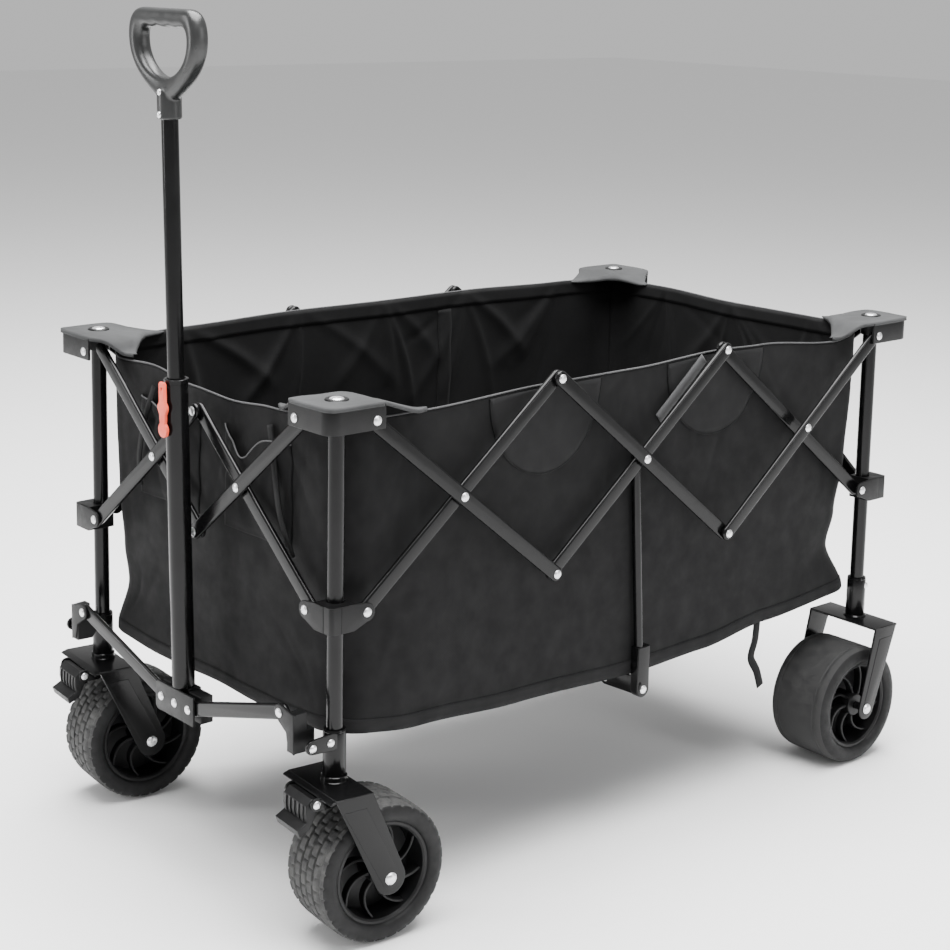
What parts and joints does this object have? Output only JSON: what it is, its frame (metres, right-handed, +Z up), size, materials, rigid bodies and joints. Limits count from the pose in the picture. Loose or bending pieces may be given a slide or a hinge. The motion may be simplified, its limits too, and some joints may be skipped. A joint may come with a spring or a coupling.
{
  "type": "folding wagon",
  "caption": "Folding utility wagon with a scissor frame, fabric tub, swivelling front casters, fixed rear wheels and a telescoping pull handle.",
  "frame": {"origin": "on the floor, at the middle of the whole wagon's length and width", "axes": "+Z up, front with the pull handle towards -Y, +X to the right-hand side as seen from the front"},
  "size_m": [0.624, 1.0102, 1.0241],
  "materials": {
    "frame_paint": "satin black powder coat",
    "moulding": "fine-textured black moulding",
    "tyre": "matt rubber, dusty tread",
    "rim": "satin black moulding",
    "grip": "smooth semi-gloss",
    "latch": "smooth orange-red moulding",
    "fabric": "tight polyester weave",
    "rivet": "bright zinc"
  },
  "bodies": {
    "corner_front_left": {"front_left_post": "frame_paint", "front_left_top_bracket": "moulding", "fabric_tub": "fabric"},
    "front_left_slider": {"front_left_slider": "moulding"},
    "corner_front_right": {"front_right_post": "frame_paint", "front_right_top_bracket": "moulding"},
    "front_right_slider": {"front_right_slider": "moulding"},
    "corner_rear_left": {"rear_left_post": "frame_paint", "rear_left_top_bracket": "moulding", "rear_left_fork": "frame_paint"},
    "rear_left_slider": {"rear_left_slider": "moulding"},
    "corner_rear_right": {"rear_right_post": "frame_paint", "rear_right_top_bracket": "moulding", "rear_right_fork": "frame_paint"},
    "rear_right_slider": {"rear_right_slider": "moulding"},
    "left_side_front_top_bar": {"left_side_front_top_bar": "frame_paint"},
    "left_side_front_slider_bar": {"left_side_front_slider_bar": "frame_paint"},
    "left_side_middle_outer_bar": {"left_side_middle_outer_bar": "frame_paint"},
    "left_side_middle_inner_bar": {"left_side_middle_inner_bar": "frame_paint"},
    "left_side_rear_slider_bar": {"left_side_rear_slider_bar": "frame_paint"},
    "left_side_rear_top_bar": {"left_side_rear_top_bar": "frame_paint"},
    "left_mid_post": {"left_mid_post": "frame_paint"},
    "right_side_front_top_bar": {"right_side_front_top_bar": "frame_paint"},
    "right_side_front_slider_bar": {"right_side_front_slider_bar": "frame_paint"},
    "right_side_middle_outer_bar": {"right_side_middle_outer_bar": "frame_paint"},
    "right_side_middle_inner_bar": {"right_side_middle_inner_bar": "frame_paint"},
    "right_side_rear_slider_bar": {"right_side_rear_slider_bar": "frame_paint"},
    "right_side_rear_top_bar": {"right_side_rear_top_bar": "frame_paint"},
    "right_mid_post": {"right_mid_post": "frame_paint"},
    "front_end_left_top_bar": {"front_end_left_top_bar": "frame_paint"},
    "front_end_left_slider_bar": {"front_end_left_slider_bar": "frame_paint"},
    "front_end_right_top_bar": {"front_end_right_top_bar": "frame_paint"},
    "front_end_right_slider_bar": {"front_end_right_slider_bar": "frame_paint"},
    "rear_end_left_top_bar": {"rear_end_left_top_bar": "frame_paint"},
    "rear_end_left_slider_bar": {"rear_end_left_slider_bar": "frame_paint"},
    "rear_end_right_top_bar": {"rear_end_right_top_bar": "frame_paint"},
    "rear_end_right_slider_bar": {"rear_end_right_slider_bar": "frame_paint"},
    "left_ear": {"left_ear_block": "moulding"},
    "right_ear": {"right_ear_block": "moulding"},
    "left_front_link": {"left_front_link": "frame_paint"},
    "right_front_link": {"right_front_link": "frame_paint"},
    "handle_lower": {"handle_bracket": "moulding", "handle_lower_tube": "frame_paint"},
    "handle_upper": {"handle_upper_tube": "frame_paint", "handle_grip": "grip"},
    "handle_latch": {"handle_latch": "latch"},
    "left_cross_link": {"left_cross_link": "frame_paint"},
    "right_cross_link": {"right_cross_link": "frame_paint"},
    "front_left_caster": {"front_left_fork": "frame_paint"},
    "front_left_brake": {"front_left_brake_pedal": "moulding"},
    "front_left_wheel": {"front_left_tyre": "tyre", "front_left_rim": "rim"},
    "rear_left_wheel": {"rear_left_tyre": "tyre", "rear_left_rim": "rim"},
    "front_right_caster": {"front_right_fork": "frame_paint"},
    "front_right_brake": {"front_right_brake_pedal": "moulding"},
    "front_right_wheel": {"front_right_tyre": "tyre", "front_right_rim": "rim"},
    "rear_right_wheel": {"rear_right_tyre": "tyre", "rear_right_rim": "rim"}
  },
  "joints": [
    {"name": "fold", "type": "hinge", "parent": "corner_front_left", "child": "left_side_front_top_bar", "pos_m": [-0.24954, -0.41407, 0.598], "axis": [-1, 0, 0], "range_deg": [0, 32.5], "deforming": ["fabric_tub"]},
    {"name": "left_side_front_slider_bar_cross", "type": "hinge", "parent": "left_side_front_top_bar", "child": "left_side_front_slider_bar", "pos_m": [-0.24954, -0.2804, 0.48976], "axis": [1, 0, 0], "range_deg": [0, 65]},
    {"name": "left_side_middle_outer_bar_foot", "type": "hinge", "parent": "left_side_front_top_bar", "child": "left_side_middle_outer_bar", "pos_m": [-0.24954, -0.13508, 0.37207], "axis": [1, 0, 0], "range_deg": [0, 65]},
    {"name": "left_side_middle_inner_bar_head", "type": "hinge", "parent": "left_side_front_slider_bar", "child": "left_side_middle_inner_bar", "pos_m": [-0.24954, -0.13508, 0.60744], "axis": [-1, 0, 0], "range_deg": [0, 65]},
    {"name": "left_side_rear_slider_bar_head", "type": "hinge", "parent": "left_side_middle_outer_bar", "child": "left_side_rear_slider_bar", "pos_m": [-0.24954, 0.15558, 0.60744], "axis": [-1, 0, 0], "range_deg": [0, 65]},
    {"name": "left_side_rear_top_bar_foot", "type": "hinge", "parent": "left_side_middle_inner_bar", "child": "left_side_rear_top_bar", "pos_m": [-0.24954, 0.15558, 0.37207], "axis": [1, 0, 0], "range_deg": [0, 65]},
    {"name": "front_left_slider_turn", "type": "hinge", "parent": "left_side_front_slider_bar", "child": "front_left_slider", "pos_m": [-0.24954, -0.41407, 0.38151], "axis": [-1, 0, 0], "range_deg": [0, 32.5]},
    {"name": "rear_left_slider_turn", "type": "hinge", "parent": "left_side_rear_slider_bar", "child": "rear_left_slider", "pos_m": [-0.24954, 0.43457, 0.38151], "axis": [1, 0, 0], "range_deg": [0, 32.5]},
    {"name": "rear_left_corner_turn", "type": "hinge", "parent": "left_side_rear_top_bar", "child": "corner_rear_left", "pos_m": [-0.24954, 0.43457, 0.598], "axis": [-1, 0, 0], "range_deg": [0, 32.5]},
    {"name": "left_mid_post_hang", "type": "hinge", "parent": "left_side_middle_inner_bar", "child": "left_mid_post", "pos_m": [-0.24954, 0.01025, 0.48976], "axis": [1, 0, 0], "range_deg": [0, 32.5]},
    {"name": "right_side_front_top_bar_top", "type": "hinge", "parent": "corner_front_right", "child": "right_side_front_top_bar", "pos_m": [0.24954, -0.41407, 0.598], "axis": [-1, 0, 0], "range_deg": [0, 32.5]},
    {"name": "right_side_front_slider_bar_cross", "type": "hinge", "parent": "right_side_front_top_bar", "child": "right_side_front_slider_bar", "pos_m": [0.24954, -0.2804, 0.48976], "axis": [1, 0, 0], "range_deg": [0, 65]},
    {"name": "right_side_middle_inner_bar_foot", "type": "hinge", "parent": "right_side_front_top_bar", "child": "right_side_middle_inner_bar", "pos_m": [0.24954, -0.13508, 0.37207], "axis": [1, 0, 0], "range_deg": [0, 65]},
    {"name": "right_side_middle_outer_bar_head", "type": "hinge", "parent": "right_side_front_slider_bar", "child": "right_side_middle_outer_bar", "pos_m": [0.24954, -0.13508, 0.60744], "axis": [-1, 0, 0], "range_deg": [0, 65]},
    {"name": "right_side_rear_slider_bar_head", "type": "hinge", "parent": "right_side_middle_inner_bar", "child": "right_side_rear_slider_bar", "pos_m": [0.24954, 0.15558, 0.60744], "axis": [-1, 0, 0], "range_deg": [0, 65]},
    {"name": "right_side_rear_top_bar_foot", "type": "hinge", "parent": "right_side_middle_outer_bar", "child": "right_side_rear_top_bar", "pos_m": [0.24954, 0.15558, 0.37207], "axis": [1, 0, 0], "range_deg": [0, 65]},
    {"name": "rear_right_slider_turn", "type": "hinge", "parent": "right_side_rear_slider_bar", "child": "rear_right_slider", "pos_m": [0.24954, 0.43457, 0.38151], "axis": [1, 0, 0], "range_deg": [0, 32.5]},
    {"name": "rear_right_corner_turn", "type": "hinge", "parent": "right_side_rear_top_bar", "child": "corner_rear_right", "pos_m": [0.24954, 0.43457, 0.598], "axis": [-1, 0, 0], "range_deg": [0, 32.5]},
    {"name": "right_mid_post_hang", "type": "hinge", "parent": "right_side_middle_outer_bar", "child": "right_mid_post", "pos_m": [0.24954, 0.01025, 0.48976], "axis": [1, 0, 0], "range_deg": [0, 32.5]},
    {"name": "front_end_left_top_bar_top", "type": "hinge", "parent": "corner_front_left", "child": "front_end_left_top_bar", "pos_m": [-0.22304, -0.44107, 0.598], "axis": [0, 1, 0], "range_deg": [0, 32.5]},
    {"name": "front_end_left_slider_bar_cross", "type": "hinge", "parent": "front_end_left_top_bar", "child": "front_end_left_slider_bar", "pos_m": [-0.08937, -0.44107, 0.48976], "axis": [0, -1, 0], "range_deg": [0, 65]},
    {"name": "front_end_right_top_bar_foot", "type": "hinge", "parent": "front_end_left_top_bar", "child": "front_end_right_top_bar", "pos_m": [0, -0.44107, 0.41739], "axis": [0, -1, 0], "range_deg": [0, 65]},
    {"name": "front_end_right_slider_bar_head", "type": "hinge", "parent": "front_end_left_slider_bar", "child": "front_end_right_slider_bar", "pos_m": [0, -0.44107, 0.56213], "axis": [0, 1, 0], "range_deg": [0, 65]},
    {"name": "front_right_corner_turn", "type": "hinge", "parent": "front_end_right_top_bar", "child": "corner_front_right", "pos_m": [0.22304, -0.44107, 0.598], "axis": [0, 1, 0], "range_deg": [0, 32.5]},
    {"name": "front_right_slider_turn", "type": "hinge", "parent": "front_end_right_slider_bar", "child": "front_right_slider", "pos_m": [0.22304, -0.44107, 0.38151], "axis": [0, -1, 0], "range_deg": [0, 32.5]},
    {"name": "rear_end_left_top_bar_top", "type": "hinge", "parent": "corner_rear_left", "child": "rear_end_left_top_bar", "pos_m": [-0.22304, 0.46157, 0.598], "axis": [0, 1, 0], "range_deg": [0, 32.5]},
    {"name": "rear_end_left_slider_bar_cross", "type": "hinge", "parent": "rear_end_left_top_bar", "child": "rear_end_left_slider_bar", "pos_m": [-0.08937, 0.46157, 0.48976], "axis": [0, -1, 0], "range_deg": [0, 65]},
    {"name": "rear_end_right_top_bar_foot", "type": "hinge", "parent": "rear_end_left_top_bar", "child": "rear_end_right_top_bar", "pos_m": [0, 0.46157, 0.41739], "axis": [0, -1, 0], "range_deg": [0, 65]},
    {"name": "rear_end_right_slider_bar_head", "type": "hinge", "parent": "rear_end_left_slider_bar", "child": "rear_end_right_slider_bar", "pos_m": [0, 0.46157, 0.56213], "axis": [0, 1, 0], "range_deg": [0, 65]},
    {"name": "handle_tilt", "type": "hinge", "parent": "corner_front_left", "child": "left_ear", "pos_m": [-0.24954, -0.47877, 0.238], "axis": [1, 0, 0], "range_deg": [0, 80]},
    {"name": "right_ear_tilt", "type": "hinge", "parent": "corner_front_right", "child": "right_ear", "pos_m": [0.24954, -0.47877, 0.238], "axis": [1, 0, 0], "range_deg": [0, 80]},
    {"name": "left_front_link_swing", "type": "hinge", "parent": "left_ear", "child": "left_front_link", "pos_m": [-0.21404, -0.48407, 0.267], "axis": [0, 1, 0], "range_deg": [0, 57.75]},
    {"name": "right_front_link_swing", "type": "hinge", "parent": "right_ear", "child": "right_front_link", "pos_m": [0.21404, -0.48407, 0.267], "axis": [0, -1, 0], "range_deg": [0, 57.75]},
    {"name": "handle_bracket_turn", "type": "hinge", "parent": "left_front_link", "child": "handle_lower", "pos_m": [-0.029, -0.48407, 0.213], "axis": [0, -1, 0], "range_deg": [0, 57.75]},
    {"name": "handle_extend", "type": "slide", "parent": "handle_lower", "child": "handle_upper", "axis": [0, -0.0192, 0.9998], "range_m": [-0.294, 0]},
    {"name": "handle_latch_press", "type": "slide", "parent": "handle_lower", "child": "handle_latch", "axis": [0, 0.9998, 0.0192], "range_m": [0, 0.002], "stiffness_N_per_m": 400},
    {"name": "left_cross_link_swing", "type": "hinge", "parent": "left_mid_post", "child": "left_cross_link", "pos_m": [-0.201, 0.03325, 0.187], "axis": [0, -1, 0], "range_deg": [0, 65.98]},
    {"name": "right_cross_link_swing", "type": "hinge", "parent": "right_mid_post", "child": "right_cross_link", "pos_m": [0.201, 0.02825, 0.187], "axis": [0, 1, 0], "range_deg": [0, 65.98]},
    {"name": "front_left_swivel", "type": "hinge", "parent": "corner_front_left", "child": "front_left_caster", "pos_m": [-0.24954, -0.44107, 0.19], "axis": [0, 0, 1], "continuous": true},
    {"name": "front_left_wheel_spin", "type": "hinge", "parent": "front_left_caster", "child": "front_left_wheel", "pos_m": [-0.24552, -0.39926, 0.0815], "axis": [0.9954, -0.0958, 0], "continuous": true},
    {"name": "front_left_brake_press", "type": "hinge", "parent": "front_left_caster", "child": "front_left_brake", "pos_m": [-0.25328, -0.47989, 0.178], "axis": [0.9954, -0.0958, 0], "range_deg": [0, 18]},
    {"name": "rear_left_wheel_spin", "type": "hinge", "parent": "corner_rear_left", "child": "rear_left_wheel", "pos_m": [-0.24954, 0.42357, 0.0815], "axis": [1, 0, 0], "continuous": true},
    {"name": "front_right_swivel", "type": "hinge", "parent": "corner_front_right", "child": "front_right_caster", "pos_m": [0.24954, -0.44107, 0.19], "axis": [0, 0, 1], "continuous": true},
    {"name": "front_right_wheel_spin", "type": "hinge", "parent": "front_right_caster", "child": "front_right_wheel", "pos_m": [0.25357, -0.39926, 0.0815], "axis": [0.9954, -0.0958, 0], "continuous": true},
    {"name": "front_right_brake_press", "type": "hinge", "parent": "front_right_caster", "child": "front_right_brake", "pos_m": [0.2458, -0.47989, 0.178], "axis": [0.9954, -0.0958, 0], "range_deg": [0, 18]},
    {"name": "rear_right_wheel_spin", "type": "hinge", "parent": "corner_rear_right", "child": "rear_right_wheel", "pos_m": [0.24954, 0.42357, 0.0815], "axis": [1, 0, 0], "continuous": true}
  ],
  "couplings": [
    {"joint": "left_side_front_slider_bar_cross", "follows": "fold", "ratio": 2},
    {"joint": "left_side_middle_outer_bar_foot", "follows": "fold", "ratio": 2},
    {"joint": "left_side_middle_inner_bar_head", "follows": "fold", "ratio": 2},
    {"joint": "left_side_rear_slider_bar_head", "follows": "fold", "ratio": 2},
    {"joint": "left_side_rear_top_bar_foot", "follows": "fold", "ratio": 2},
    {"joint": "front_left_slider_turn", "follows": "fold", "ratio": 1},
    {"joint": "rear_left_slider_turn", "follows": "fold", "ratio": 1},
    {"joint": "rear_left_corner_turn", "follows": "fold", "ratio": 1},
    {"joint": "left_mid_post_hang", "follows": "fold", "ratio": 1},
    {"joint": "right_side_front_top_bar_top", "follows": "fold", "ratio": 1},
    {"joint": "right_side_front_slider_bar_cross", "follows": "fold", "ratio": 2},
    {"joint": "right_side_middle_inner_bar_foot", "follows": "fold", "ratio": 2},
    {"joint": "right_side_middle_outer_bar_head", "follows": "fold", "ratio": 2},
    {"joint": "right_side_rear_slider_bar_head", "follows": "fold", "ratio": 2},
    {"joint": "right_side_rear_top_bar_foot", "follows": "fold", "ratio": 2},
    {"joint": "rear_right_slider_turn", "follows": "fold", "ratio": 1},
    {"joint": "rear_right_corner_turn", "follows": "fold", "ratio": 1},
    {"joint": "right_mid_post_hang", "follows": "fold", "ratio": 1},
    {"joint": "front_end_left_top_bar_top", "follows": "fold", "ratio": 1},
    {"joint": "front_end_left_slider_bar_cross", "follows": "fold", "ratio": 2},
    {"joint": "front_end_right_top_bar_foot", "follows": "fold", "ratio": 2},
    {"joint": "front_end_right_slider_bar_head", "follows": "fold", "ratio": 2},
    {"joint": "front_right_corner_turn", "follows": "fold", "ratio": 1},
    {"joint": "front_right_slider_turn", "follows": "fold", "ratio": 1},
    {"joint": "rear_end_left_top_bar_top", "follows": "fold", "ratio": 1},
    {"joint": "rear_end_left_slider_bar_cross", "follows": "fold", "ratio": 2},
    {"joint": "rear_end_right_top_bar_foot", "follows": "fold", "ratio": 2},
    {"joint": "rear_end_right_slider_bar_head", "follows": "fold", "ratio": 2},
    {"joint": "right_ear_tilt", "follows": "handle_tilt", "ratio": 1},
    {"joint": "left_front_link_swing", "follows": "fold", "ratio": 1.777},
    {"joint": "right_front_link_swing", "follows": "fold", "ratio": 1.777},
    {"joint": "handle_bracket_turn", "follows": "fold", "ratio": 1.777},
    {"joint": "left_cross_link_swing", "follows": "fold", "ratio": 2.0302},
    {"joint": "right_cross_link_swing", "follows": "fold", "ratio": 2.0302}
  ]
}
